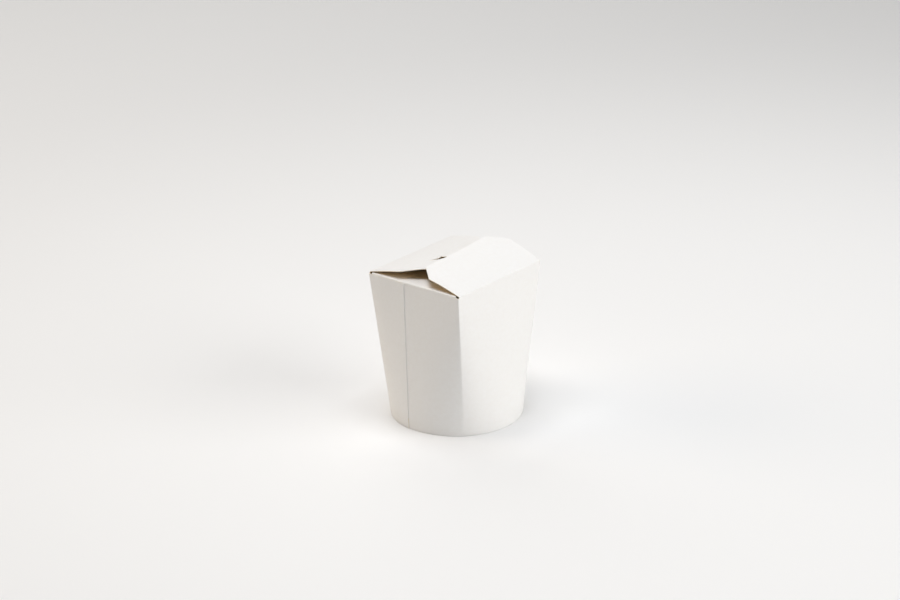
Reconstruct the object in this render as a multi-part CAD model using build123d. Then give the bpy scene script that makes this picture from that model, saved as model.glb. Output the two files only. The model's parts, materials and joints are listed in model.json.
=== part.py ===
from build123d import *
import os
from math import asin, atan2, cos, degrees, hypot, radians, sin, sqrt, tan

# A paper pasta cup, closed. One sheet of white board makes the wall, its turned-in hem and its four
# top flaps; a second, thinner piece of board makes the bottom. Millimetres, +Z up. The origin is the
# middle of the foot, on the surface that the cup stands on. X runs along the folds of the two main
# flaps, and Y from the fold of the closing flap to the fold of the flap beneath it.

# Driving dimensions: the cup
foot_diameter = 90.0
shoulder_length = 87.0        # along X, the fold of each main flap
shoulder_width = 76.5         # along Y, the fold of each side flap
shoulder_height = 104.5       # up to the top of the main folds
board = 0.45                  # thickness of the sheet
corner_ease = 9.0             # how far from a shoulder corner the wall starts to bend
fold_radius = 1.0             # outside of each fixed fold

# Driving dimensions: foot and bottom
bottom_board = 0.35           # thickness of the bottom piece
bottom_height = 10.0          # top of the bottom piece above the surface
hem_height = 8.8              # how far the turned-in edge reaches up
glue_gap = 0.05               # between glued layers
fold_bevel = 0.2              # on the outside of the pressed folds at the foot

# Driving dimensions: side seam, on the wall on the -X side
seam_offset = 5.4             # along the foot, from the middle of that wall to the sheet's outer end
lap_width = 7.0               # along the foot, how far the two ends of the sheet overlap
seam_step = 0.3               # the pressed step at each end of the lap

# Driving dimensions: flap under the closing flap
main_relief = 1.0             # from a shoulder corner to each end of a main fold
inner_rise = 11.0             # its slope, degrees
inner_bow = 0.5               # how far its middle stands above a flat flap
inner_reach = 42.0            # from fold to tip
inner_shoulder = 24.5         # from fold to the start of its taper
inner_side_half = 41.4        # half its width at the start of the taper
inner_tip_half = 29.4         # half its width at the tip
inner_curl_length = 5.5       # the stretch at its tip that the closing flap presses down
inner_curl_radius = 15.0
corner_round = 1.5            # corners of the main flaps

# Driving dimensions: slit and lip in that flap
slit_gap = 3.7                # from the closing flap's tip to the slit's edge near the flap's tip
slit_length = 5.6             # from that edge to the root of the lip
slit_root_half = 16.0
slit_front_half = 10.5
slit_round = 2.0
lip_curl = 40.0               # how far the tongue has bent the lip up, degrees
lip_margin = 0.15             # between the lip and each side of the slit

# Driving dimensions: closing flap
closing_rise = 15.4           # its slope in the middle, degrees
closing_twist = 4.0           # how much less, or more, its two sides slope
closing_bow = 1.1
closing_reach = 38.4
closing_shoulder = 26.1
closing_side_half = 41.6
closing_tip_half = 30.4
closing_roll = 0.5            # radius of the fold that it swings on
hinge_gap = 0.12              # under that fold

# Driving dimensions: tongue
tongue_half = 8.7
tongue_tip_half = 7.0
tongue_round = 2.0
tongue_clearance = 0.3        # between the tongue and each edge of the slit
tongue_bend = 1.0             # radius of its bends
tongue_droop = 12.0           # its fall between the closing flap and the slit, degrees
tongue_depth = 6.5            # how far it reaches down from its bend at the slit

# Driving dimensions: side flaps
side_drop = 0.5               # their folds lie this much lower
side_slope = -3.0             # degrees, falling inwards
side_bow = 0.5
side_reach = 27.0
side_relief = 2.2             # from a shoulder corner to each end of the fold
side_tip_half = 22.0
side_round = 4.0

foot_radius = foot_diameter / 2
foot_layers = 2 * board + 2 * glue_gap + bottom_board
half_length = shoulder_length / 2
half_width = shoulder_width / 2
main_rim = shoulder_height - fold_radius
side_rim = main_rim - side_drop
main_half = half_length - main_relief
hinge_y = -half_width + closing_roll
hinge_z = shoulder_height - closing_roll
closing_rim = hinge_z - closing_roll - hinge_gap
slit_end = shoulder_width - closing_reach - slit_gap
slit_start = slit_end - slit_length
reach_past = half_width       # more than any cutting prism has to reach
eighth = 360 / 8              # of the foot's turn, in each half of a side


def foot_point(radius, angle):
    return Vector(radius * cos(radians(angle)), radius * sin(radians(angle)), 0)


def half_side(index, inset):
    """Foot and shoulder control points, with their weights, of one half of a side of the wall.

    The halves run anticlockwise from the corner at +X, -Y. Even ones start at a shoulder corner and
    odd ones end at one. Most of the bending stays near the corner, within corner_ease.
    """
    radius, x, y = foot_radius - inset, half_length - inset, half_width - inset
    turn = [(x, -y), (x, 0), (x, y), (0, y), (-x, y), (-x, 0), (-x, -y), (0, -y)]
    start = (index - 1) * eighth
    low = [
        foot_point(radius, start),
        foot_point(radius / cos(radians(eighth / 2)), start + eighth / 2),
        foot_point(radius, start + eighth),
    ]
    first = Vector(*turn[index], shoulder_height)
    last = Vector(*turn[(index + 1) % len(turn)], shoulder_height)
    ease = (last - first).normalized() * corner_ease
    middle = last - ease if index % 2 else first + ease
    return low, [first, middle, last], [1.0, cos(radians(eighth / 2)), 1.0]


def blossom(points, weights, s, t):
    """A control point, and its weight, of the stretch from s to t of a three-point curve."""
    shares = [(1 - s) * (1 - t), s * (1 - t) + t * (1 - s), s * t]
    scaled = [share * weight for share, weight in zip(shares, weights)]
    total = sum((point * share for point, share in zip(points, scaled)), Vector(0, 0, 0))
    return total / sum(scaled), sum(scaled)


def wall_rows(index, inset, start=0.0, end=1.0, sunk_start=0.0, sunk_end=0.0):
    """Control rows of the stretch from start to end of half a side, sunk a little at either end."""
    low, high, weights = half_side(index, inset)
    spans = [(start, start), (start, end), (end, end)]
    depths = [sunk_start, (sunk_start + sunk_end) / 2, sunk_end]
    foot = [blossom(low, weights, *span)[0] for span in spans]
    top = [blossom(high, weights, *span)[0] for span in spans]
    shared = [blossom(low, weights, *span)[1] for span in spans]
    foot = [point - point.normalized() * depth for point, depth in zip(foot, depths)]
    top = [point + Vector(depth, 0, 0) for point, depth in zip(top, depths)]
    return foot, top, shared


def wall_face(*stretch, **options):
    foot, top, shared = wall_rows(*stretch, **options)
    return Face.make_bezier_surface([foot, top], [shared, shared])


def wall_line(index, share, inset, depth):
    """A straight line up the wall, at the given share of half a side."""
    foot, top, _ = wall_rows(index, inset, share, share, depth, depth)
    return Edge.make_line(foot[0], top[0])


def share_at(offset):
    """Which share of its half lies beyond a line, offset along the foot from the side's middle."""
    from_middle = eighth / 2 - degrees(offset / foot_radius)
    return (tan(radians(from_middle / 2)) / tan(radians(eighth / 4)) + 1) / 2


def cap(faces, level):
    """The flat face that closes these wall faces at one level."""
    rim = [
        edge
        for face in faces
        for edge in face.edges()
        if all(abs(vertex.Z - level) < 1e-4 for vertex in edge.vertices())
    ]
    return Face(Wire.combine(rim, tol=1e-4)[0])


def tapered_body(inset, step_offset):
    """All that the wall's face encloses, inset, with the step of one end of the lap in one side."""
    share = share_at(step_offset)
    lap = 4
    faces = [wall_face(index, inset) for index in range(8) if index not in (lap, lap + 1)]
    faces += [
        wall_face(lap, inset, end=share),
        wall_face(lap, inset, start=share, sunk_start=seam_step, sunk_end=seam_step),
        wall_face(lap + 1, inset, sunk_start=seam_step),
        Face.make_surface_from_curves(
            wall_line(lap, share, inset, 0.0), wall_line(lap, share, inset, seam_step)
        ),
    ]
    return Solid(Shell([*faces, cap(faces, 0), cap(faces, shoulder_height)]))


def between(low, high):
    """A slab to cut a body with, from one height to another."""
    return Pos(0, 0, (low + high) / 2) * Box(2 * foot_diameter, 2 * foot_diameter, high - low)


def layer(outer_inset, inner_inset, low, high):
    """A ring of board that follows the wall, from one height to another."""
    ring = inner_side(outer_inset) - inner_side(inner_inset)
    return ring & between(low, high)


def inner_side(inset):
    """The tapered body that the layers inside the wall follow, with the lap's inner step."""
    return tapered_body(inset, seam_offset + lap_width + inset - board)


def make_wall():
    """The wall, with its top edge cut lower at the sides and under the closing flap."""
    wall = tapered_body(0, seam_offset) - inner_side(board)
    wall = wall & between(0, main_rim)
    notch = Box(half_length, shoulder_width * 2, reach_past)
    for side in (-1, 1):
        x = side * (half_length * 1.5 - main_relief)
        wall = wall - Pos(x, 0, side_rim + reach_past / 2) * notch
    front = Box(shoulder_length, half_width, reach_past)
    wall = wall - Pos(0, -half_width, closing_rim + reach_past / 2) * front
    return wall


def make_foot():
    """The sheet's turned-in edge: a strip across the fold at the foot, and the hem above it."""
    hem = layer(foot_layers - board, foot_layers, board / 2, hem_height)
    strip = layer(board / 2, foot_layers - board / 2, 0, board)
    return hem + strip


def bowed(start, heading, chord, bow):
    """An arc that starts at a point and bulges up by bow over a chord of the given slope."""
    radius = chord**2 / (8 * bow) + bow / 2
    curl = degrees(asin(chord / 2 / radius))
    slope = radians(heading + curl)
    return JernArc(start, (cos(slope), sin(slope)), radius, -2 * curl)


def across(origin, inward):
    """The plane of a flap's section: local x inwards, local y upwards."""
    return Plane(origin, x_dir=inward, z_dir=Vector(inward).cross(Vector(0, 0, 1)))


def along(origin, inward, slope):
    """The plane of a flap's outline: local x along its fold, local y from the fold to the tip."""
    inward = Vector(inward)
    normal = Vector(0, 0, cos(radians(slope))) - inward * sin(radians(slope))
    return Plane(origin, x_dir=inward.cross(Vector(0, 0, 1)), z_dir=normal)


def flap_outline(pairs, rounding):
    """A flap seen flat, from pairs of half its width and the distance from its fold."""
    left = [(-half, reach) for half, reach in reversed(pairs)]
    shape = make_face(Polyline(*pairs, *left, close=True))
    free = [vertex for vertex in shape.vertices() if vertex.Y > 0.1]
    return fillet(free, rounding)


def prism(plane, shape):
    return extrude(plane * shape, reach_past, both=True)


def fixed_fold(rim, slope, chord, bow):
    """The middle line of a fixed flap: round the fold from the wall's top edge, then nearly flat.

    Local x runs inwards from the wall's outer face, and local y upwards.
    """
    radius = fold_radius - board / 2
    panel = bowed((0, 0), slope, chord, bow)
    heading = panel % 0
    turn = degrees(atan2(heading.Y, heading.X)) - 90
    fold = JernArc((board / 2, rim), (0, 1), radius, turn)
    return fold, bowed(fold @ 1, slope, chord, bow)


def make_inner_flap():
    """The main flap beneath the closing flap, with its slit and the lip that the tongue bends up."""
    fold, panel = fixed_fold(main_rim, inner_rise, inner_reach - inner_curl_length, inner_bow)
    press = degrees(inner_curl_length / inner_curl_radius)
    curl = JernArc(panel @ 1, panel % 1, inner_curl_radius, -press)
    inward = (0, -1, 0)
    section = across((0, half_width, 0), inward)
    flap = extrude(section * trace(fold + panel + curl, board), main_half, both=True)
    outline = flap_outline(
        [(main_half, -fold_radius), (main_half, 0), (inner_side_half, inner_shoulder),
         (inner_tip_half, inner_reach)],
        corner_round,
    )
    flap = flap & prism(along((0, half_width, shoulder_height), inward, inner_rise), outline)
    share = (slit_start - fold_radius) / panel.length
    root = section.from_local_coords(panel @ share)
    ahead = section.from_local_coords((panel @ share) + (panel % share)) - root
    slit = Plane(root, x_dir=(-1, 0, 0), z_dir=Vector(-1, 0, 0).cross(ahead))
    opening = [(slit_root_half + lip_margin, 0), (slit_front_half + lip_margin, slit_length)]
    flap = flap - prism(slit, flap_outline(opening, slit_round))
    near = slit.from_local_coords((0, slit_length, board / 2))
    tongue_radius = hypot(near.Y - hinge_y, near.Z - hinge_z) + tongue_clearance + board / 2
    bent = JernArc(panel @ share, panel % share, slit_length / radians(lip_curl), lip_curl)
    lip = extrude(section * trace(bent, board), slit_root_half, both=True)
    tab = flap_outline(
        [(slit_root_half, -board), (slit_root_half, 0), (slit_front_half, slit_length)], slit_round
    )
    lip = lip & prism(slit, tab)
    lip = lip - hinge_cylinder(tongue_radius + board / 2 + tongue_clearance, shoulder_length)
    return flap + lip, tongue_radius


def hinge_cylinder(radius, length):
    return Pos(0, hinge_y, hinge_z) * Rot(0, 90, 0) * Cylinder(radius, length)


def make_side_flap(side):
    """One of the two flaps beneath the main flaps; side is -1 or 1."""
    fold, panel = fixed_fold(side_rim, side_slope, side_reach, side_bow)
    root_half = half_width - side_relief
    x = half_length if side > 0 else seam_step / 2 - half_length
    inward = (-side, 0, 0)
    flap = extrude(across((x, 0, 0), inward) * trace(fold + panel, board), root_half, both=True)
    outline = flap_outline(
        [(root_half, -fold_radius), (root_half, 0), (side_tip_half, side_reach)], side_round
    )
    return flap & prism(along((x, 0, side_rim + fold_radius), inward, side_slope), outline)


def tongue_line(tongue_radius):
    """The middle line of the closing flap, from its fold to the end of its tongue.

    Local x runs inwards from the fold that it swings on, and local y upwards. The tongue ends on a
    circle round that fold, so that it slides out of the slit without touching it.
    """
    panel = bowed((0, 0), closing_rise, closing_reach, closing_bow)
    heading = panel % 1
    turn = degrees(atan2(heading.Y, heading.X)) + tongue_droop
    crease = JernArc(panel @ 1, heading, tongue_bend, -turn)
    ahead = crease % 1
    below = Vector(ahead.Y, -ahead.X)
    corner = crease @ 1 + below * tongue_bend
    lead = corner.dot(ahead)
    room = (tongue_radius - tongue_bend) ** 2 - corner.dot(corner)
    run = sqrt(lead**2 + room) - lead
    centre = corner + ahead * run
    bridge = Line(crease @ 1, crease @ 1 + ahead * run)
    elevation = degrees(atan2(centre.Y, centre.X))
    bend = JernArc(bridge @ 1, ahead, tongue_bend, elevation + tongue_droop - 90)
    drop = JernArc(bend @ 1, bend % 1, tongue_radius, -degrees(tongue_depth / tongue_radius))
    return panel + crease + bridge + bend + drop, drop @ 1


def make_closing_flap(tongue_radius):
    """The flap that closes the cup, with its tongue in the slit and the roll that it swings on."""
    line, end = tongue_line(tongue_radius)
    section = trace(line, board)
    slices = []
    for x in (-main_half, -tongue_half, tongue_half, main_half):
        twist = radians(closing_twist * x / closing_side_half)
        slices.append(
            Plane((x, hinge_y, hinge_z), x_dir=(0, cos(twist), sin(twist)), z_dir=(1, 0, 0)) * section
        )
    sheet = loft(slices, ruled=True)
    outline = flap_outline(
        [(main_half, -closing_roll), (main_half, 0), (closing_side_half, closing_shoulder),
         (closing_tip_half, closing_reach)],
        corner_round,
    )
    panel = prism(along((0, hinge_y, hinge_z), (0, 1, 0), closing_rise), outline)
    tip_y = hinge_y + closing_reach * cos(radians(closing_rise))
    low = hinge_z + end.Y
    tab = make_face(Polyline(
        (-tongue_half, shoulder_height + reach_past), (tongue_half, shoulder_height + reach_past),
        (tongue_half, low + tongue_depth), (tongue_tip_half, low),
        (-tongue_tip_half, low), (-tongue_half, low + tongue_depth), close=True,
    ))
    tab = fillet([vertex for vertex in tab.vertices() if abs(vertex.Y - low) < 1e-6], tongue_round)
    front = Plane((0, tip_y - 1, 0), x_dir=(-1, 0, 0), z_dir=(0, 1, 0))
    tongue = extrude(front * tab, reach_past)
    return (sheet & (panel + tongue)) + hinge_cylinder(closing_roll, 2 * main_half)


def bevel_foot(body):
    """The sheet with both corners of its fold at the foot bevelled, on the round outline there."""
    lower = (Align.CENTER, Align.CENTER, Align.MIN)
    outer = foot_radius - fold_bevel
    inner = foot_radius - foot_layers + fold_bevel
    kept = Cone(outer, outer + board, board, align=lower)
    outside = Cylinder(foot_radius + board, board, align=lower) - kept
    inside = Cone(inner, inner - board, board, align=lower)
    return body - outside - inside


def pressed(body, level):
    """The body with the edges of its top face bevelled."""
    return chamfer([edge for edge in body.edges() if abs(edge.center().Z - level) < 1e-3], fold_bevel)


def make_bottom():
    """The bottom piece: a disc, and a skirt that points down between the wall and the hem."""
    outer = board + glue_gap
    piece = inner_side(outer) & between(outer, bottom_height)
    piece = pressed(piece, bottom_height)
    hollow = inner_side(outer + bottom_board) & between(0, bottom_height - bottom_board)
    return piece - hollow


inner_flap, tongue_radius = make_inner_flap()
sheet = make_wall() + make_foot() + inner_flap + make_side_flap(-1) + make_side_flap(1)
pieces = {
    "cup_sheet": bevel_foot(sheet),
    "base_disc": make_bottom(),
    "closing_flap": make_closing_flap(tongue_radius),
}

os.makedirs("parts", exist_ok=True)
for name, piece in pieces.items():
    export_step(piece, f"parts/{name}.step")
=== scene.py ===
import json
from math import asin, atan2, cos, degrees, exp, radians, sin, sqrt, tan

import bpy
from mathutils import Matrix, Vector

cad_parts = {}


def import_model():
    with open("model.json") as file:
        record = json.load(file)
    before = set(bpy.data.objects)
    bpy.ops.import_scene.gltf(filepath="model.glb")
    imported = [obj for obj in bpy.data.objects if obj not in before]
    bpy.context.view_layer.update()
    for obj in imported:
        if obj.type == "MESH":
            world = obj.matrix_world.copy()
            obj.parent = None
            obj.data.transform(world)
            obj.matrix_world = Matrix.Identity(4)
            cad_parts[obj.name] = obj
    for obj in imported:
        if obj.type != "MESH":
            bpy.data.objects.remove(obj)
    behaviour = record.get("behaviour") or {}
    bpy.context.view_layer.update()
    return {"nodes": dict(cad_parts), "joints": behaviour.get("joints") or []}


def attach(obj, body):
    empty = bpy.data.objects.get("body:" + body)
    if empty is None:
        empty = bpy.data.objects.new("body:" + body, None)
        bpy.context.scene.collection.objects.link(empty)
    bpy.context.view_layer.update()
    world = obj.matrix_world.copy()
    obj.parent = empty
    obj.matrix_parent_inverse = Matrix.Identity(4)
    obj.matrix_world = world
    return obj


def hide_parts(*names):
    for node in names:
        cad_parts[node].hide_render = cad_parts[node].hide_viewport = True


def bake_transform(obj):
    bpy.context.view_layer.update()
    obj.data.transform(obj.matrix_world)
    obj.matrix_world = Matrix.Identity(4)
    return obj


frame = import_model()

# Sizes are in millimetres, and become metres as each vertex is placed.
MM = 0.001

# The cup
FOOT_RADIUS = 45.0
HALF_LENGTH = 43.5
HALF_WIDTH = 38.25
SHOULDER = 104.5
CORNER_EASE = 9.0
BOARD = 0.45
FOLD = 1.0
MAIN_HALF = 42.5
SIDE_HALF = 36.05
MAIN_RIM = SHOULDER - FOLD
SIDE_DROP = 0.5
SIDE_RIM = MAIN_RIM - SIDE_DROP
RIM_SLACK = 0.2

# The wall is eight halves of sides. Each takes this turn of the foot, in degrees.
HALF_TURN = 45.0
# Shares of a half: where a scored corner's rounding ends, and where a main flap's fold begins
CORNER_SHARE = 0.022
FLAP_SHARE = 0.055
HALF_COLUMNS = 16
CORNER_COLUMNS = 6
LAP_COLUMNS = 6
WALL_ROWS = 30

# Foot and seam
FOOT_BEND = 0.5
FOOT_LAYERS = 1.35
HEM_HEIGHT = 8.8
HEM_ROWS = (HEM_HEIGHT, 6.0, 3.0)
BEND_STEPS = 6
SEAM_OFFSET = 5.4
LAP_WIDTH = 7.0
LAP_SINK = BOARD + 0.02
SEAM_CLEAR = 1.0

# Flap beneath the closing flap
INNER_RISE = 11.0
INNER_BOW = 0.5
INNER_REACH = 42.0
INNER_SHOULDER = 24.5
INNER_SIDE_HALF = 41.4
INNER_TIP_HALF = 29.4
INNER_CURL = 5.5
INNER_CURL_RADIUS = 15.0
CORNER_ROUND = 1.5
SLIT_START = 28.8
SLIT_END = 34.4
SLIT_ROOT_HALF = 16.0
SLIT_FRONT_HALF = 10.5
SLIT_ROUND = 2.0
LIP_MARGIN = 0.15
LIP_LENGTH = 4.55
LIP_CURL = 25.0

# Closing flap and tongue
HINGE = Vector(frame["joints"][0]["pos_m"]) / MM
CLOSING_RISE = 15.4
CLOSING_TWIST = 4.0
CLOSING_BOW = 1.1
CLOSING_REACH = 38.4
CLOSING_SHOULDER = 26.1
CLOSING_SIDE_HALF = 41.6
CLOSING_TIP_HALF = 30.4
CLOSING_FOLD = 0.8
CLOSING_SAG = 0.8
SAG_SPREAD = 16.0
STRIP_DROP = 0.6
STRIP_REACH = 1.4
STRIP_START = MAIN_RIM - STRIP_DROP
TONGUE_HALF = 8.7
TONGUE_TIP_HALF = 7.0
TONGUE_DROOP = 12.0
TONGUE_ROUND = 2.0
TONGUE_BEND = 1.0
TONGUE_RADIUS = 43.6
TONGUE_DEPTH = 6.5

# Side flaps
SIDE_SLOPE = -3.0
SIDE_BOW = 0.5
SIDE_REACH = 27.0
SIDE_TIP_HALF = 22.0
SIDE_ROUND = 4.0

# How far apart a flap's score lines are: round a fold, in a strip, and on slit, tip, tongue and panel
FOLD_STEP = 0.12
STRIP_STEP = 0.35
SLIT_STEP = 0.6
TIP_STEP = 0.8
TONGUE_STEP = 0.3
CLOSING_STEP = 1.3
PANEL_STEP = 1.5
SIDE_STEP = 2.0
CUT_MARGIN = 2.0
HALVINGS = 40

# Corners nearer than this are merged: in a flat blank, and where the folded pieces meet
BLANK_WELD = 0.01
WELD = 0.02
# Shading is smooth over edges that turn by less than this, in degrees.
SMOOTH_ANGLE = 35

# Colours
WHITE = (0.90, 0.895, 0.885)
WHITE_DEEP = (0.885, 0.875, 0.86)
KRAFT = (0.80, 0.56, 0.26)
KRAFT_DEEP = (0.68, 0.45, 0.19)
EDGE = (0.94, 0.88, 0.77)
EDGE_DEEP = (0.86, 0.76, 0.60)
FLOOR = (0.89, 0.89, 0.89)
# The floor goes from FLOOR to a darker tint with distance from a middle point: painted shade standing in
# for the lamps' falloff around a painted pool of light.
FLOOR_PAINTED_SHADE = (0.77, 0.77, 0.77)
FLOOR_LIT_MIDDLE = (0.12, -0.22, 0.0)
FLOOR_PAINTED_FALLOFF = (0.3, 1.0)
FINE_FIBRES = {"Mottle_Scale": 420.0, "Fibre_Scale": 2200.0, "Fibre_Share": 0.35}
COARSE_FIBRES = {"Mottle_Scale": 220.0, "Fibre_Scale": 1500.0, "Fibre_Share": 0.6}
TONE_RANGE = (0.35, 0.65)

# View and light
LENS, SENSOR = 100.0, 36.0
VIEW_ANGLE, VIEW_PITCH, VIEW_ROLL = -50.35, 21.74, -0.93
VIEW_DISTANCE = 1698.3
VIEW_SHIFT = (4.86, -73.85)
ROOM_LIGHT = 0.02
# Each lamp's name, direction from the cup, distance and size in metres, watts and colour
LAMPS = [
    ("top", (-0.1, 0.0, 1.0), 2.2, 1.4, 34.0, (0.97, 0.98, 1.0)),
    ("key", (0.25, -0.95, 0.3), 2.2, 1.8, 35.5, (1.0, 0.985, 0.955)),
    ("edge", (-0.55, 0.8, 0.35), 2.0, 1.2, 11.5, (1.0, 0.82, 0.6)),
    ("back", (0.5, 0.8, 0.8), 2.2, 1.8, 13.5, (1.0, 0.99, 0.97)),
]


def only(piece):
    """Leaves this piece selected and active, and nothing else."""
    bpy.ops.object.select_all(action="DESELECT")
    piece.select_set(True)
    bpy.context.view_layer.objects.active = piece


def pick(piece, test):
    """In edit mode, selects the faces whose middle passes a test."""
    bpy.ops.mesh.select_mode(type="FACE")
    bpy.ops.mesh.select_all(action="DESELECT")
    bpy.ops.object.mode_set(mode="OBJECT")
    for face in piece.data.polygons:
        face.select = test(face.center)
    bpy.ops.object.mode_set(mode="EDIT")


def board_grid(name, columns, rows, place):
    """A sheet with a vertex wherever one of its columns meets one of its rows."""
    across, ahead = len(columns) - 1, len(rows) - 1
    bpy.ops.mesh.primitive_grid_add(x_subdivisions=across, y_subdivisions=ahead, size=2)
    piece = bpy.context.object
    piece.name = name
    for vertex in piece.data.vertices:
        column = columns[round((vertex.co.x + 1) / 2 * across)]
        row = rows[round((vertex.co.y + 1) / 2 * ahead)]
        vertex.co = place(column, row)
    return piece


def blank(name, columns, rows):
    """A flat blank of board, with score lines along these places across it and along it."""
    return board_grid(name, columns, rows, lambda x, y: Vector((x, y, 0)))


def cut(piece, start, end, test=None, trim=False):
    """Cuts the flat board along a line. trim throws away what lies on the line's right."""
    only(piece)
    bpy.ops.object.mode_set(mode="EDIT")
    if test:
        pick(piece, test)
    else:
        bpy.ops.mesh.select_all(action="SELECT")
    right = Vector((end[1] - start[1], start[0] - end[0], 0)).normalized()
    bpy.ops.mesh.bisect(plane_co=(*start, 0), plane_no=right, clear_outer=trim, use_fill=False)
    bpy.ops.object.mode_set(mode="OBJECT")


def rounded(points, radius, steps=5):
    """An open outline with each of its inner corners as a short arc."""
    outline = [points[0]]
    for before, corner, after in zip(points, points[1:], points[2:]):
        corner = Vector(corner)
        back = (Vector(before) - corner).normalized()
        ahead = (Vector(after) - corner).normalized()
        half = back.angle(ahead) / 2
        middle = corner + (back + ahead).normalized() * radius / sin(half)
        first = corner + back * radius / tan(half) - middle
        last = corner + ahead * radius / tan(half) - middle
        for i in range(steps + 1):
            outline.append(tuple(middle + (first.lerp(last, i / steps)).normalized() * radius))
    return outline + [points[-1]]


def trim_outline(piece, points, radius):
    """Trims a blank to an outline that runs up its right side and down its left one."""
    outline = rounded(points, radius)
    for start, end in zip(outline, outline[1:]):
        cut(piece, start, end, trim=True)


def mirrored(pairs):
    """An outline up the right side and down the left, from pairs of half width and reach."""
    return pairs + [(-half, reach) for half, reach in reversed(pairs)]


def spread(start, end, count):
    """Values from one end to the other in this many equal steps, both ends included."""
    return [start + (end - start) * i / count for i in range(count + 1)]


def lines(start, end, step):
    """Evenly spaced values from one end to the other, both included."""
    return spread(start, end, max(1, round(abs(end - start) / step)))


class Path:
    """A line through a flap's section: stretches of (length, turn in degrees), straight or round.

    Local x runs inwards from the fold, and local y upwards. The first stretch is at 90 degrees.
    """

    def __init__(self, start, heading, stretches):
        self.nodes = []
        x, y = start
        for length, turn in stretches:
            self.nodes.append((x, y, heading, length, turn))
            x, y, heading = self.step(x, y, heading, length, turn, length)
        self.end = (x, y, heading)
        self.length = sum(length for length, _ in stretches)

    @staticmethod
    def step(x, y, heading, length, turn, along):
        bend = turn * along / length if length else 0.0
        middle = radians(heading + bend / 2)
        chord = along
        if abs(bend) > 1e-6:
            chord = 2 * along / radians(bend) * sin(radians(bend) / 2)
        return x + chord * cos(middle), y + chord * sin(middle), heading + bend

    def at(self, s):
        """(x, y, heading) at this distance along the line."""
        for x, y, heading, length, turn in self.nodes:
            if s <= length or (x, y, heading, length, turn) == self.nodes[-1]:
                return self.step(x, y, heading, length, turn, s)
            s -= length


def bowed(chord, bow):
    """(length, turn) of an arc that stands up by bow over its chord, and half that turn."""
    radius = chord**2 / (8 * bow) + bow / 2
    curl = degrees(asin(chord / 2 / radius))
    return radius * radians(2 * curl), -2 * curl, curl


def foot_point(radius, angle):
    """A point of a circle round the foot."""
    return Vector((radius * cos(radians(angle)), radius * sin(radians(angle)), 0))


def curve_point(points, weights, t):
    """The point at t of a three-point curve with weights."""
    shares = [(1 - t) ** 2, 2 * t * (1 - t), t * t]
    scaled = [share * weight for share, weight in zip(shares, weights)]
    total = sum((point * share for point, share in zip(points, scaled)), Vector((0, 0, 0)))
    return total / sum(scaled)


def half_side(index):
    """Foot and shoulder control points, with their weights, of one half of a side of the wall."""
    x, y = HALF_LENGTH, HALF_WIDTH
    turn = [(x, -y), (x, 0), (x, y), (0, y), (-x, y), (-x, 0), (-x, -y), (0, -y)]
    start = (index - 1) * HALF_TURN
    low = [
        foot_point(FOOT_RADIUS, start),
        foot_point(FOOT_RADIUS / cos(radians(HALF_TURN / 2)), start + HALF_TURN / 2),
        foot_point(FOOT_RADIUS, start + HALF_TURN),
    ]
    first = Vector((*turn[index], SHOULDER))
    last = Vector((*turn[(index + 1) % len(turn)], SHOULDER))
    ease = (last - first).normalized() * CORNER_EASE
    middle = last - ease if index % 2 else first + ease
    return low, [first, middle, last], [1.0, cos(radians(HALF_TURN / 2)), 1.0]


def share_at(offset):
    """Which share of its half lies beyond a line, offset along the foot from the side's middle."""
    from_middle = HALF_TURN / 2 - degrees(offset / FOOT_RADIUS)
    return (tan(radians(from_middle / 2)) / tan(radians(HALF_TURN / 4)) + 1) / 2


def wall_point(index, share, z, sink=0.0):
    """A point of the wall's outer face, sunk inwards, at one height."""
    low, high, weights = half_side(index)
    foot = curve_point(low, weights, share)
    top = curve_point(high, weights, share)
    point = foot.lerp(top, z / SHOULDER)
    inward = Vector((-point.x, -point.y, 0)).normalized()
    return point + inward * sink


def corner_point(index, turn, z):
    """A point of the rounded, scored corner at the end of this half, turn running from 0 to 1."""
    before = wall_point(index, 1 - CORNER_SHARE, z)
    crease = wall_point(index, 1.0, z)
    after = wall_point((index + 1) % 8, CORNER_SHARE, z)
    return before * (1 - turn) ** 2 + crease * (2 * turn * (1 - turn)) + after * turn**2


def half_shares(start, end, count):
    """Shares of a half from one end to the other, with one more where a main flap's fold begins."""
    near, far = CORNER_SHARE, 1 - CORNER_SHARE
    if near in (start, end):
        inner = FLAP_SHARE
        steps = spread(start, inner, count) + [near] if end == near else [near] + spread(inner, end, count)
    elif far in (start, end):
        inner = 1 - FLAP_SHARE
        steps = spread(start, inner, count) + [far] if end == far else [far] + spread(inner, end, count)
    else:
        steps = spread(start, end, count)
    return steps


def wall_columns():
    """Every column of the sheet, clockwise from its outer end: (point at a height, sink, top)."""
    columns = []

    def half(index, start, end, count, sink_start=0.0, sink_end=0.0):
        for share in half_shares(start, end, count):
            sink = sink_start + (sink_end - sink_start) * (share - start) / (end - start)
            columns.append((lambda z, n=index, s=share: wall_point(n, s, z), sink, None))

    def corner(index):
        for i in range(CORNER_COLUMNS + 1):
            turn = 1 - i / CORNER_COLUMNS
            columns.append((lambda z, n=index, t=turn: corner_point(n, t, z), 0.0, SIDE_RIM))

    near, far = CORNER_SHARE, 1 - CORNER_SHARE
    seam, lap = share_at(SEAM_OFFSET), share_at(SEAM_OFFSET + LAP_WIDTH)
    half(4, seam, near, HALF_COLUMNS)
    for index in (3, 1, 7):
        corner(index)
        half(index, far, 0.0, HALF_COLUMNS)
        half(index - 1, 1.0, near, HALF_COLUMNS)
    corner(5)
    half(5, far, 0.0, HALF_COLUMNS, 0.0, LAP_SINK)
    half(4, 1.0, lap, LAP_COLUMNS, LAP_SINK, LAP_SINK)
    return columns


def column_top(point):
    """How high the wall reaches in a column that ends at this point."""
    if abs(point.x) > MAIN_HALF + RIM_SLACK:
        return SIDE_RIM
    return MAIN_RIM if point.y > 0 else STRIP_START


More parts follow.
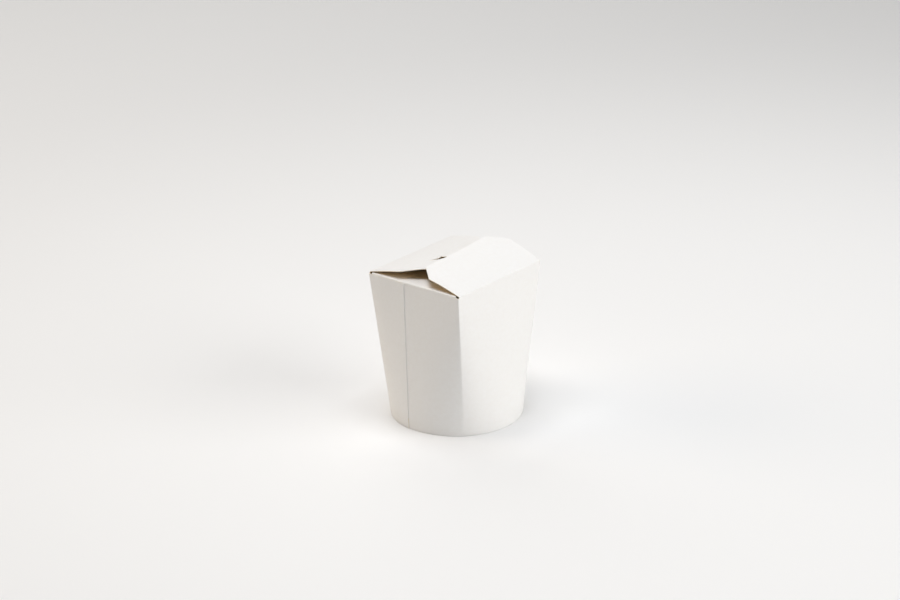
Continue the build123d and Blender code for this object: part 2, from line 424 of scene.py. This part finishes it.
def foot_profile():
    """(inset, height) up the hem's face, round the fold and to the start of the wall."""
    steps = [radians(angle) for angle in spread(0, 90, BEND_STEPS)]
    hem = [(FOOT_LAYERS, z) for z in HEM_ROWS]
    inner = [(FOOT_LAYERS - FOOT_BEND * (1 - cos(a)), FOOT_BEND * (1 - sin(a))) for a in steps]
    outer = [(FOOT_BEND * (1 - sin(a)), FOOT_BEND * (1 - cos(a))) for a in steps]
    return hem + inner + outer


def make_wall():
    """The wall and its turned-in hem, from the sheet's outer end clockwise to its inner end."""
    foot = foot_profile()

    def place(column, row):
        at, sink, top = column
        if row < len(foot):
            inset, z = foot[row]
        else:
            high = top or column_top(at(SHOULDER))
            part = (row - len(foot) + 1) / WALL_ROWS
            inset, z = 0.0, FOOT_BEND + (high - FOOT_BEND) * part
        point = at(z)
        inward = Vector((-point.x, -point.y, 0)).normalized()
        return (point + inward * (inset + sink)) * MM

    return board_grid("cup_board", wall_columns(), range(len(foot) + WALL_ROWS), place)


def flap_path(rim, fold, slope, bow, reach, curl=None):
    """The section of a fixed flap's outer face: round the fold and along the bowed panel."""
    chord = reach - (curl[0] if curl else 0)
    length, turn, lift = bowed(chord, bow)
    heading = slope + lift
    stretches = [(fold * radians(90 - heading), heading - 90), (length, turn)]
    if curl:
        stretches.append((curl[0], -degrees(curl[0] / curl[1])))
    return Path((0.0, rim), 90.0, stretches)


def rim_columns(z):
    """Where the columns of a long side's wall end, at this height, as places along X."""
    shares = spread(FLAP_SHARE, 1.0, HALF_COLUMNS)
    half = [wall_point(2, share, z).x for share in shares[:-1]]
    return [-x for x in half] + [0.0] + half[::-1]


def last_share(test):
    """The last share of a half, going from 0 to 1, at which a test still holds."""
    low, high = 0.0, 1.0
    for _ in range(HALVINGS):
        middle = (low + high) / 2
        if test(middle):
            low = middle
        else:
            high = middle
    return low


def rim_point(x, side, z):
    """The point of the wall's outer face above or below a place on the rim of a long side."""
    share = last_share(lambda share: wall_point(2, share, z).x > abs(x))
    return Vector((x, side * wall_point(2, share, z).y, z))


def bend_up(path, side):
    """Where a long side's flat blank goes: round its fold from the wall's rim, along its panel."""
    fold = path.nodes[0][3]

    def place(x, s):
        inward, up, _ = path.at(s)
        proud = rim_point(x, side, MAIN_RIM).y - side * HALF_WIDTH
        return Vector((x, side * (HALF_WIDTH - inward) + proud * max(0.0, 1 - s / fold), up))

    return place


def inside(points):
    """A test for what lies within a convex outline that runs anticlockwise."""
    def test(middle):
        for start, end in zip(points, points[1:] + points[:1]):
            if (end[0] - start[0]) * (middle.y - start[1]) < (end[1] - start[1]) * (middle.x - start[0]):
                return False
        return True
    return test


def around(start, end, margin):
    """A test for what lies in the rectangle round a short line."""
    def test(middle):
        return (
            min(start[0], end[0]) - margin < middle.x < max(start[0], end[0]) + margin
            and min(start[1], end[1]) - margin < middle.y < max(start[1], end[1]) + margin
        )
    return test


def free_lip(piece, outline):
    """Cuts the slit along an outline, and gives the corners of the lip that it frees."""
    for start, end in zip(outline, outline[1:]):
        cut(piece, start, end, around(start, end, CUT_MARGIN))
    lip = inside(outline)
    only(piece)
    bpy.ops.object.mode_set(mode="EDIT")
    pick(piece, lip)
    bpy.ops.mesh.split()
    bpy.ops.object.mode_set(mode="OBJECT")
    corners = set()
    for face in piece.data.polygons:
        if lip(face.center):
            corners.update(face.vertices)
    return corners


def make_inner_flap():
    """The main flap that lies beneath, with the slit across it and the lip that the slit frees."""
    curl = (INNER_CURL, INNER_CURL_RADIUS)
    path = flap_path(MAIN_RIM, FOLD, INNER_RISE, INNER_BOW, INNER_REACH, curl)
    fold = path.nodes[0][3]
    slack = path.length - INNER_REACH
    shoulder, tip = INNER_SHOULDER + slack, INNER_REACH + slack
    root, front = SLIT_START + slack, SLIT_END + slack
    rows = lines(0, fold, FOLD_STEP) + lines(fold, root, PANEL_STEP)[1:]
    rows += lines(root, front, SLIT_STEP)[1:] + lines(front, tip, TIP_STEP)[1:]
    piece = blank("inner_flap", rim_columns(MAIN_RIM), rows)
    pairs = [(rim_columns(MAIN_RIM)[-1], 0.0), (INNER_SIDE_HALF, shoulder), (INNER_TIP_HALF, tip)]
    trim_outline(piece, mirrored(pairs), CORNER_ROUND)
    slit = rounded(mirrored([(SLIT_ROOT_HALF, root), (SLIT_FRONT_HALF, front)]), SLIT_ROUND)
    lip = free_lip(piece, slit)
    place = bend_up(path, 1)
    bent = Path(path.at(root)[:2], path.at(root)[2], [(front - root, LIP_CURL)])
    shorter = LIP_LENGTH / (front - root)
    for vertex in piece.data.vertices:
        x, s = vertex.co.x, vertex.co.y
        point = place(x, s)
        if vertex.index in lip:
            inward, up, _ = bent.at((s - root) * shorter)
            point = Vector((x * (1 - LIP_MARGIN / SLIT_ROOT_HALF), HALF_WIDTH - inward, up))
        vertex.co = point * MM
    return piece


def make_side_flap(side):
    """One of the two flaps beneath the main flaps; side is -1 or 1."""
    path = flap_path(SIDE_RIM, FOLD, SIDE_SLOPE, SIDE_BOW, SIDE_REACH)
    fold = path.nodes[0][3]
    tip = path.length
    rows = lines(0, fold, FOLD_STEP) + lines(fold, tip, PANEL_STEP)[1:]
    piece = blank("side_flap", lines(-SIDE_HALF, SIDE_HALF, SIDE_STEP), rows)
    trim_outline(piece, mirrored([(SIDE_HALF, 0.0), (SIDE_TIP_HALF, tip)]), SIDE_ROUND)
    sunk = LAP_SINK / 2 if side < 0 else 0.0
    for vertex in piece.data.vertices:
        inward, up, _ = path.at(vertex.co.y)
        wall = side_wall(vertex.co.x)
        ease = max(0.0, 1 - vertex.co.y / fold)
        x = HALF_LENGTH - inward - sunk + (wall - HALF_LENGTH) * ease
        vertex.co = Vector((side * x, -side * vertex.co.x, up)) * MM
    return piece


def side_wall(y):
    """How far out the wall's outer face stands at the rim of a short side."""
    share = last_share(lambda share: wall_point(1, share, SIDE_RIM).y < abs(y))
    return wall_point(1, share, SIDE_RIM).x


def closing_path():
    """The middle line of the closing flap from the wall's top edge to the tongue's end.

    It runs as the part's own does: local x inwards and local y upwards from the fold's axis.
    """
    length, turn, lift = bowed(CLOSING_REACH, CLOSING_BOW)
    heading = CLOSING_RISE + lift
    small = CLOSING_FOLD - BOARD / 2
    wall = BOARD / 2 - HALF_WIDTH - HINGE.y
    run = small * (1 - sin(radians(heading))) + wall
    top = run * tan(radians(heading)) - small * cos(radians(heading))
    low = STRIP_START - HINGE.z
    skipped = run / cos(radians(heading))
    stretches = [
        (top - low, 0.0),
        (small * radians(90 - heading), heading - 90),
        (length - skipped, turn * (1 - skipped / length)),
    ]
    panel = Path((wall, low), 90.0, stretches)
    x, y, heading = panel.end
    ahead = Vector((cos(radians(-TONGUE_DROOP)), sin(radians(-TONGUE_DROOP))))
    bend = (TONGUE_BEND * radians(heading + TONGUE_DROOP), -heading - TONGUE_DROOP)
    crease = Path((x, y), heading, [bend])
    corner = Vector(crease.end[:2]) + Vector((ahead.y, -ahead.x)) * TONGUE_BEND
    lead = corner.dot(ahead)
    span = sqrt(lead**2 + (TONGUE_RADIUS - TONGUE_BEND) ** 2 - corner.dot(corner)) - lead
    centre = corner + ahead * span
    elevation = degrees(atan2(centre.y, centre.x))
    turn = 90 - elevation - TONGUE_DROOP
    stretches += [
        bend,
        (span, 0.0),
        (TONGUE_BEND * radians(turn), -turn),
        (TONGUE_DEPTH, -degrees(TONGUE_DEPTH / TONGUE_RADIUS)),
    ]
    return Path((wall, low), 90.0, stretches)


def place_closing(path):
    """Where a point of the closing flap's blank goes, on its outer face."""
    knees = [node[3] for node in path.nodes]
    folded = knees[0] + knees[1]
    tip = folded + knees[2]

    def place(x, s):
        inward, up, heading = path.at(s)
        normal = Vector((-sin(radians(heading)), cos(radians(heading))))
        point = Vector((inward, up)) + normal * BOARD / 2
        raised = min(max((s - knees[0]) / knees[1], 0.0), 1.0)
        blend = raised * raised * (3 - 2 * raised)
        twist = radians(CLOSING_TWIST * x / CLOSING_SIDE_HALF) * blend
        point.rotate(Matrix.Rotation(twist, 2))
        reached = min(max((s - folded) / (tip - folded), 0.0), 1.0)
        sag = CLOSING_SAG * reached**2 * exp(-((x / SAG_SPREAD) ** 2))
        proud = (rim_point(x, -1, STRIP_START).y + HALF_WIDTH) * (1 - blend)
        return Vector((x, HINGE.y + point.x + proud, HINGE.z + point.y - sag))

    return place, folded, tip


def make_closing_flap():
    """The closing flap with its tongue, and the strip of board round its fold, as a piece of its own."""
    path = closing_path()
    place, folded, tip = place_closing(path)
    end = path.length
    split = folded + STRIP_REACH
    shoulder = tip - CLOSING_REACH + CLOSING_SHOULDER
    corners = [(rim_columns(STRIP_START)[-1], 0.0), (CLOSING_SIDE_HALF, shoulder), (CLOSING_TIP_HALF, tip)]
    columns = sorted(rim_columns(STRIP_START) + [-TONGUE_HALF, TONGUE_HALF])
    rows = lines(0, folded, FOLD_STEP)
    rows += lines(folded, split, STRIP_STEP)[1:] + lines(split, tip, CLOSING_STEP)[1:]
    piece = blank("closing_flap_board", columns, rows)
    trim_outline(piece, mirrored(corners), CORNER_ROUND)
    tongue_columns = [x for x in columns if abs(x) <= TONGUE_HALF]
    tongue = blank("tongue", tongue_columns, lines(tip, end, TONGUE_STEP))
    sides = [(TONGUE_HALF, tip), (TONGUE_HALF, end - TONGUE_DEPTH), (TONGUE_TIP_HALF, end)]
    trim_outline(tongue, mirrored(sides), TONGUE_ROUND)
    piece = join([piece, tongue], BLANK_WELD)
    bpy.ops.object.mode_set(mode="EDIT")
    pick(piece, lambda middle: middle.y < split)
    bpy.ops.mesh.separate(type="SELECTED")
    bpy.ops.object.mode_set(mode="OBJECT")
    strip = next(each for each in bpy.context.selected_objects if each is not piece)
    strip.name = "closing_fold"
    for part in (piece, strip):
        for vertex in part.data.vertices:
            vertex.co = place(vertex.co.x, vertex.co.y) * MM
    return piece, strip


def turn_over(piece):
    """Makes the other side of a sheet its outer face."""
    only(piece)
    bpy.ops.object.mode_set(mode="EDIT")
    bpy.ops.mesh.select_all(action="SELECT")
    bpy.ops.mesh.flip_normals()
    bpy.ops.object.mode_set(mode="OBJECT")


def thicken(piece):
    """Gives a sheet its board thickness, inwards, with the plain side and the cut edge marked."""
    only(piece)
    solid = piece.modifiers.new("board", "SOLIDIFY")
    solid.thickness = BOARD * MM
    solid.offset = -1
    solid.use_quality_normals = True
    solid.material_offset = 1
    solid.material_offset_rim = 2
    bpy.ops.object.modifier_apply(modifier=solid.name)


def join(pieces, threshold):
    """Joins pieces into the first of them, with the corners that they share merged."""
    bpy.ops.object.select_all(action="DESELECT")
    for piece in pieces:
        piece.select_set(True)
    bpy.context.view_layer.objects.active = pieces[0]
    bpy.ops.object.join()
    bpy.ops.object.mode_set(mode="EDIT")
    bpy.ops.mesh.select_all(action="SELECT")
    bpy.ops.mesh.remove_doubles(threshold=threshold)
    bpy.ops.object.mode_set(mode="OBJECT")
    return pieces[0]


def finish_board(piece, slots):
    """Thickness, smooth shading and the three finishes of the board."""
    for material in slots:
        piece.data.materials.append(material)
    thicken(piece)
    only(piece)
    bpy.ops.object.shade_smooth_by_angle(angle=radians(SMOOTH_ANGLE))


def add_node(tree, kind, **values):
    """A shader node, with inputs named by their label (spaces as underscores) or its settings."""
    node = tree.nodes.new(kind)
    for name, value in values.items():
        label = name.replace("_", " ")
        if label in node.inputs:
            node.inputs[label].default_value = value
        else:
            setattr(node, name, value)
    return node


def paper_group():
    """Paper seen close: slow mottling where pulp lay thicker, and the fibres over it."""
    group = bpy.data.node_groups.new("paper_fibre", "ShaderNodeTree")
    for name, default in (("Mottle Scale", 160.0), ("Fibre Scale", 1400.0), ("Fibre Share", 0.5)):
        socket = group.interface.new_socket(name, in_out="INPUT", socket_type="NodeSocketFloat")
        socket.default_value = default
    for name in ("Tone", "Height"):
        group.interface.new_socket(name, in_out="OUTPUT", socket_type="NodeSocketFloat")
    given, out = add_node(group, "NodeGroupInput"), add_node(group, "NodeGroupOutput")
    place = add_node(group, "ShaderNodeTexCoord")
    mottle = add_node(group, "ShaderNodeTexNoise", Detail=4.0, Roughness=0.55)
    stretch = add_node(group, "ShaderNodeMapping")
    stretch.inputs["Scale"].default_value = (1.0, 1.0, 0.35)
    fibre = add_node(group, "ShaderNodeTexNoise", Detail=3.0, Roughness=0.7, Distortion=1.2)
    tone = add_node(group, "ShaderNodeMix", data_type="FLOAT")
    link = group.links.new
    link(place.outputs["Object"], mottle.inputs["Vector"])
    link(place.outputs["Object"], stretch.inputs["Vector"])
    link(stretch.outputs["Vector"], fibre.inputs["Vector"])
    link(given.outputs["Mottle Scale"], mottle.inputs["Scale"])
    link(given.outputs["Fibre Scale"], fibre.inputs["Scale"])
    link(given.outputs["Fibre Share"], tone.inputs["Factor"])
    link(mottle.outputs["Fac"], tone.inputs["A"])
    link(fibre.outputs["Fac"], tone.inputs["B"])
    link(tone.outputs["Result"], out.inputs["Tone"])
    link(fibre.outputs["Fac"], out.inputs["Height"])
    return group


def board_wave_group():
    """The slow unevenness of a panel of board that has been folded, as a height."""
    group = bpy.data.node_groups.new("board_wave", "ShaderNodeTree")
    group.interface.new_socket("Height", in_out="OUTPUT", socket_type="NodeSocketFloat")
    out = add_node(group, "NodeGroupOutput")
    place = add_node(group, "ShaderNodeTexCoord")
    wave = add_node(group, "ShaderNodeTexNoise", Scale=38.0, Detail=1.5, Roughness=0.4)
    group.links.new(place.outputs["Object"], wave.inputs["Vector"])
    group.links.new(wave.outputs["Fac"], out.inputs["Height"])
    return group


def place_group(tree, group, **values):
    """A node group placed in a material, with its own values."""
    node = add_node(tree, "ShaderNodeGroup", node_tree=group)
    for name, value in values.items():
        node.inputs[name.replace("_", " ")].default_value = value
    return node


def paper(name, pale, deep, roughness, fibres, wave_height, fibre_height):
    """A board's surface: two tones by its fibres, slow waves and fine tooth."""
    material = bpy.data.materials.new(name)
    material.use_nodes = True
    tree = material.node_tree
    surface = tree.nodes["Principled BSDF"]
    surface.inputs["Roughness"].default_value = roughness
    surface.inputs["Specular IOR Level"].default_value = 0.35
    link = tree.links.new
    look = place_group(tree, FIBRE, **fibres)
    tone = add_node(tree, "ShaderNodeMapRange", interpolation_type="SMOOTHSTEP")
    tone.inputs["From Min"].default_value, tone.inputs["From Max"].default_value = TONE_RANGE
    colour = add_node(tree, "ShaderNodeMix", data_type="RGBA")
    colour.inputs["A"].default_value = (*pale, 1)
    colour.inputs["B"].default_value = (*deep, 1)
    wave = place_group(tree, WAVE)
    slow = add_node(tree, "ShaderNodeBump", Strength=1.0, Distance=wave_height * MM)
    fine = add_node(tree, "ShaderNodeBump", Strength=1.0, Distance=fibre_height * MM)
    link(look.outputs["Tone"], tone.inputs["Value"])
    link(tone.outputs["Result"], colour.inputs["Factor"])
    link(colour.outputs["Result"], surface.inputs["Base Color"])
    link(wave.outputs["Height"], slow.inputs["Height"])
    link(look.outputs["Height"], fine.inputs["Height"])
    link(slow.outputs["Normal"], fine.inputs["Normal"])
    link(fine.outputs["Normal"], surface.inputs["Normal"])
    return material


def base_paper():
    """The bottom piece's board: brown on the faces that look up, into the cup, and white below."""
    material = paper(
        "bottom_paper", WHITE, WHITE_DEEP, 0.6, FINE_FIBRES, wave_height=0.15, fibre_height=0.02
    )
    tree = material.node_tree
    surface = tree.nodes["Principled BSDF"]
    white = surface.inputs["Base Color"].links[0].from_node
    look = next(node for node in tree.nodes if node.type == "GROUP" and node.node_tree == FIBRE)
    brown = add_node(tree, "ShaderNodeMix", data_type="RGBA")
    brown.inputs["A"].default_value = (*KRAFT, 1)
    brown.inputs["B"].default_value = (*KRAFT_DEEP, 1)
    place = add_node(tree, "ShaderNodeTexCoord")
    parts = add_node(tree, "ShaderNodeSeparateXYZ")
    upward = add_node(tree, "ShaderNodeMath", operation="GREATER_THAN")
    upward.inputs[1].default_value = 0.5
    both = add_node(tree, "ShaderNodeMix", data_type="RGBA")
    link = tree.links.new
    link(look.outputs["Tone"], brown.inputs["Factor"])
    link(place.outputs["Normal"], parts.inputs["Vector"])
    link(parts.outputs["Z"], upward.inputs[0])
    link(upward.outputs["Value"], both.inputs["Factor"])
    link(white.outputs["Result"], both.inputs["A"])
    link(brown.outputs["Result"], both.inputs["B"])
    link(both.outputs["Result"], surface.inputs["Base Color"])
    return material


def paint_seam_highlight(piece):
    """The cut edge at the sheet's outer end gets the white outer finish: a painted highlight where the
    seam's edge catches the light.
    """
    for face in piece.data.polygons:
        left = face.center.x < 0
        on_wall = HEM_HEIGHT * MM < face.center.z < (SIDE_RIM - SEAM_CLEAR) * MM
        upright = abs(face.normal.z) < 0.5
        # Painted highlight: these cut-edge faces at the seam take the white finish instead of the cut-edge
        # finish.
        if face.material_index == 2 and left and on_wall and upright:
            face.material_index = 0


def make_cup(finishes):
    """The wall, the flap beneath and both side flaps: one sheet, so one piece."""
    wall, inner = make_wall(), make_inner_flap()
    left, right = make_side_flap(-1), make_side_flap(1)
    for piece in (wall, inner, left, right):
        turn_over(piece)
    cup = join([wall, inner, left, right], WELD * MM)
    finish_board(cup, finishes)
    paint_seam_highlight(cup)
    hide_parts("cup_sheet")
    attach(cup, "cup")


def make_lid(finishes):
    """The closing flap, on the lid, and the strip round its fold between it and the wall, left where it
    stands.
    """
    flap, strip = make_closing_flap()
    for piece in (flap, strip):
        finish_board(piece, finishes)
    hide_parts("closing_flap")
    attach(flap, "lid")
    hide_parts("closing_flap")
    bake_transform(strip)


def aim(angle, pitch, roll, distance, shift):
    """The camera's place and turn. The angle is the plan angle of its view, from +Y towards -X."""
    flat = (Vector((cos(angle), sin(angle), 0)), Vector((-sin(angle), cos(angle), 0)))

    def world(vector):
        return flat[0] * vector.x + flat[1] * vector.y + Vector((0, 0, vector.z))

    forward = Vector((0, cos(pitch), -sin(pitch)))
    right, up = Vector((1, 0, 0)), Vector((0, sin(pitch), cos(pitch)))
    level = right * cos(roll) + up * sin(roll)
    upright = up * cos(roll) - right * sin(roll)
    place = -forward * distance - level * shift[0] - upright * shift[1]
    turn = Matrix((world(level), world(upright), world(-forward))).transposed()
    return Matrix.Translation(world(place) * MM) @ turn.to_4x4()


def make_camera():
    """The camera, at the photo's viewing angle."""
    data = bpy.data.cameras.new("camera")
    data.lens, data.sensor_width = LENS, SENSOR
    data.clip_end = 50.0
    camera = bpy.data.objects.new("camera", data)
    camera.matrix_world = aim(
        radians(VIEW_ANGLE), radians(VIEW_PITCH), radians(VIEW_ROLL), VIEW_DISTANCE, VIEW_SHIFT
    )
    bpy.context.scene.collection.objects.link(camera)
    bpy.context.scene.camera = camera


def make_lamp(name, direction, distance, size, power, colour):
    """A square soft lamp that looks at the middle of the cup."""
    data = bpy.data.lights.new(name, "AREA")
    data.size, data.energy, data.color = size, power, colour
    lamp = bpy.data.objects.new(name, data)
    middle = Vector((0, 0, SHOULDER / 2 * MM))
    away = Vector(direction).normalized()
    lamp.location = middle + away * distance
    lamp.rotation_euler = away.to_track_quat("Z", "Y").to_euler()
    bpy.context.scene.collection.objects.link(lamp)


def make_stage():
    """The pale floor, its colour darkened with distance from a middle point as painted shade of the lamps'
    falloff, and even light from all round.
    """
    bpy.ops.mesh.primitive_plane_add(size=16)
    floor = bpy.context.object
    floor.name = "floor"
    pale = bpy.data.materials.new("floor_with_painted_falloff")
    pale.use_nodes = True
    tree = pale.node_tree
    surface = tree.nodes["Principled BSDF"]
    place = add_node(tree, "ShaderNodeTexCoord")
    # Painted shade: the floor's colour darkens with distance from a lit middle, standing in for the lamps'
    # falloff.
    away = add_node(tree, "ShaderNodeVectorMath", operation="DISTANCE")
    away.inputs[1].default_value = FLOOR_LIT_MIDDLE
    painted_falloff = add_node(tree, "ShaderNodeMapRange", interpolation_type="SMOOTHSTEP")
    painted_falloff.inputs["From Min"].default_value, painted_falloff.inputs["From Max"].default_value = FLOOR_PAINTED_FALLOFF
    painted_light_tint = add_node(tree, "ShaderNodeMix", data_type="RGBA")
    painted_light_tint.inputs["A"].default_value = (*FLOOR, 1)
    painted_light_tint.inputs["B"].default_value = (*FLOOR_PAINTED_SHADE, 1)
    tree.links.new(place.outputs["Object"], away.inputs[0])
    tree.links.new(away.outputs["Value"], painted_falloff.inputs["Value"])
    tree.links.new(painted_falloff.outputs["Result"], painted_light_tint.inputs["Factor"])
    tree.links.new(painted_light_tint.outputs["Result"], surface.inputs["Base Color"])
    surface.inputs["Roughness"].default_value = 0.9
    surface.inputs["Specular IOR Level"].default_value = 0.1
    floor.data.materials.append(pale)
    world = bpy.data.worlds.new("room")
    world.use_nodes = True
    world.node_tree.nodes["Background"].inputs["Color"].default_value = (1, 1, 1, 1)
    world.node_tree.nodes["Background"].inputs["Strength"].default_value = ROOM_LIGHT
    bpy.context.scene.world = world


bpy.ops.object.select_all(action="DESELECT")
FIBRE = paper_group()
WAVE = board_wave_group()
board_finishes = [
    paper("white_clay", WHITE, WHITE_DEEP, 0.5, FINE_FIBRES, wave_height=0.35, fibre_height=0.01),
    paper("brown_back", KRAFT, KRAFT_DEEP, 0.75, COARSE_FIBRES, wave_height=0.25, fibre_height=0.05),
    paper("cut_edge", EDGE, EDGE_DEEP, 0.8, COARSE_FIBRES, wave_height=0.1, fibre_height=0.05),
]
make_cup(board_finishes)
make_lid(board_finishes)
base = frame["nodes"]["base_disc"]
base.data.materials[0] = base_paper()
make_stage()
for lamp in LAMPS:
    make_lamp(*lamp)
make_camera()
bpy.context.scene.view_settings.view_transform = "Standard"
